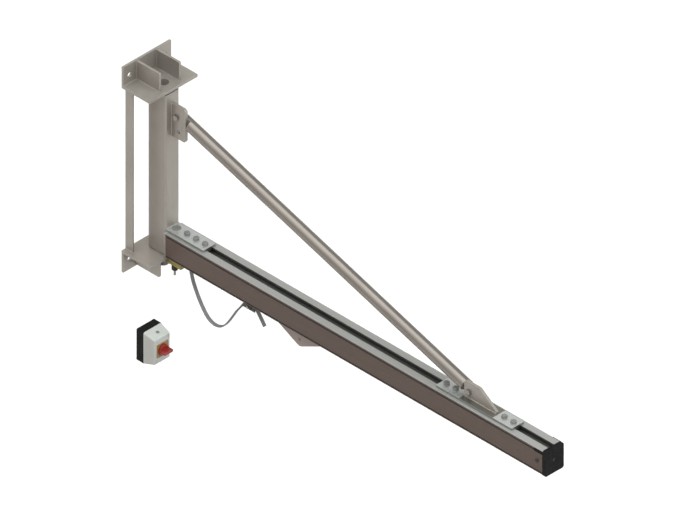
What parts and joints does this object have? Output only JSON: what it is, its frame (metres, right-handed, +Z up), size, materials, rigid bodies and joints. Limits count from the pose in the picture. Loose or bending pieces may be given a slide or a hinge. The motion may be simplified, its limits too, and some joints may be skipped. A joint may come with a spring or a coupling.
{
  "type": "wall-mounted jib crane",
  "caption": "Wall-mounted jib crane with a swivelling column, tie-braced rail, load trolley, flat-cable trolley and a wall isolator switch.",
  "frame": {"origin": "centre of the wall bracket's bolt pattern, on the wall", "axes": "+X out from the wall along the jib, +Z up, Y along the wall"},
  "size_m": [1.809, 0.212, 1.157],
  "materials": {
    "bracket_steel": "satin grey coat",
    "bright_steel": "turned",
    "bronze": "plain bearing bronze",
    "yellow_paint": "satin",
    "zinc_screw": "zinc plated",
    "brake_lining": "pressed lining",
    "black_nut": "black oxide",
    "black_plastic": "fine grain",
    "pale_plastic": "moulded",
    "dark_plastic": "moulded",
    "yellow_plastic": "smooth",
    "red_plastic": "moulded",
    "tie_steel": "polished",
    "zinc_plate": "zinc plated",
    "dark_screw": "black zinc",
    "rail_aluminium": "anodised, brushed lengthwise",
    "dark_steel": "phosphated",
    "black_rubber": "matte",
    "grey_cable": "matte sheath",
    "hanger_steel": "satin grey coat",
    "roller_plastic": "nylon"
  },
  "bodies": {
    "wall_frame": {"upper_wall_plate": "bracket_steel", "lower_wall_plate": "bracket_steel", "upper_bearing_plate": "bracket_steel", "lower_bearing_plate": "bracket_steel", "gussets": "bracket_steel", "side_struts": "bracket_steel", "upper_pivot_pin": "bright_steel", "lower_bush": "bronze", "thrust_washer": "bronze", "brake_bracket": "bracket_steel", "brake_body": "yellow_paint", "brake_body_screws": "zinc_screw", "brake_shoe": "brake_lining", "brake_adjuster": "bright_steel", "brake_lock_nut": "black_nut", "isolator_base": "black_plastic", "isolator_cover": "pale_plastic", "isolator_cover_screws": "pale_plastic", "isolator_contacts": "dark_plastic", "isolator_plate": "yellow_plastic"},
    "switch_knob": {"switch_knob": "red_plastic"},
    "jib": {"column": "bracket_steel", "column_top_block": "bracket_steel", "column_bottom_block": "bracket_steel", "upper_bush": "bronze", "lower_pivot_pin": "bright_steel", "pin_collar": "bright_steel", "tie_lug": "bracket_steel", "tie_tube": "tie_steel", "tie_eyes": "bracket_steel", "tie_bolts": "zinc_screw", "tie_nuts": "zinc_screw", "root_bracket": "zinc_plate", "root_plug": "dark_plastic", "foot_plate": "zinc_plate", "foot_fin": "bracket_steel", "rail_screws": "dark_screw", "slot_nuts": "zinc_screw", "rail": "rail_aluminium", "end_cap": "black_plastic", "end_screws": "dark_screw", "rail_stop": "dark_steel", "stop_buffer": "black_rubber", "cable_clamp": "dark_plastic", "clamp_plate": "zinc_plate", "clamp_screws": "zinc_screw", "cable_loop": "grey_cable"},
    "load_trolley": {"hanger_plate": "hanger_steel", "trolley_axles": "bright_steel", "axle_clips": "zinc_screw"},
    "rear_wheels": {"rear_wheels": "roller_plastic"},
    "front_wheels": {"front_wheels": "roller_plastic"},
    "cable_trolley": {"cable_carriage": "dark_steel", "carriage_axles": "bright_steel", "cable_saddle": "dark_plastic", "saddle_bolt": "zinc_screw", "cable_tail": "grey_cable"},
    "rear_rollers": {"rear_rollers": "roller_plastic"},
    "front_rollers": {"front_rollers": "roller_plastic"}
  },
  "joints": [
    {"name": "jib_swing", "type": "hinge", "parent": "wall_frame", "child": "jib", "pos_m": [0.08, 0, 0], "axis": [0, 0, 1], "range_deg": [-90, 90]},
    {"name": "knob_turn", "type": "hinge", "parent": "wall_frame", "child": "switch_knob", "pos_m": [0.079, 0, -0.704], "axis": [1, 0, 0], "range_deg": [-90, 0]},
    {"name": "trolley_travel", "type": "slide", "parent": "jib", "child": "load_trolley", "axis": [1, 0, 0], "range_m": [-0.03, 0.947]},
    {"name": "rear_wheels_roll", "type": "hinge", "parent": "load_trolley", "child": "rear_wheels", "pos_m": [0.6, 0, -0.285], "axis": [0, 1, 0], "continuous": true},
    {"name": "front_wheels_roll", "type": "hinge", "parent": "load_trolley", "child": "front_wheels", "pos_m": [0.77, 0, -0.285], "axis": [0, 1, 0], "continuous": true},
    {"name": "cable_trolley_travel", "type": "slide", "parent": "jib", "child": "cable_trolley", "axis": [1, 0, 0], "range_m": [-0.15, 0.03], "deforming": ["cable_loop"]},
    {"name": "rear_rollers_roll", "type": "hinge", "parent": "cable_trolley", "child": "rear_rollers", "pos_m": [0.45, 0, -0.292], "axis": [0, 1, 0], "continuous": true},
    {"name": "front_rollers_roll", "type": "hinge", "parent": "cable_trolley", "child": "front_rollers", "pos_m": [0.48, 0, -0.292], "axis": [0, 1, 0], "continuous": true}
  ],
  "couplings": [
    {"joint": "rear_wheels_roll", "follows": "trolley_travel", "rad_per_m": 63.694},
    {"joint": "front_wheels_roll", "follows": "trolley_travel", "rad_per_m": 63.694},
    {"joint": "rear_rollers_roll", "follows": "cable_trolley_travel", "rad_per_m": 114.94},
    {"joint": "front_rollers_roll", "follows": "cable_trolley_travel", "rad_per_m": 114.94}
  ]
}
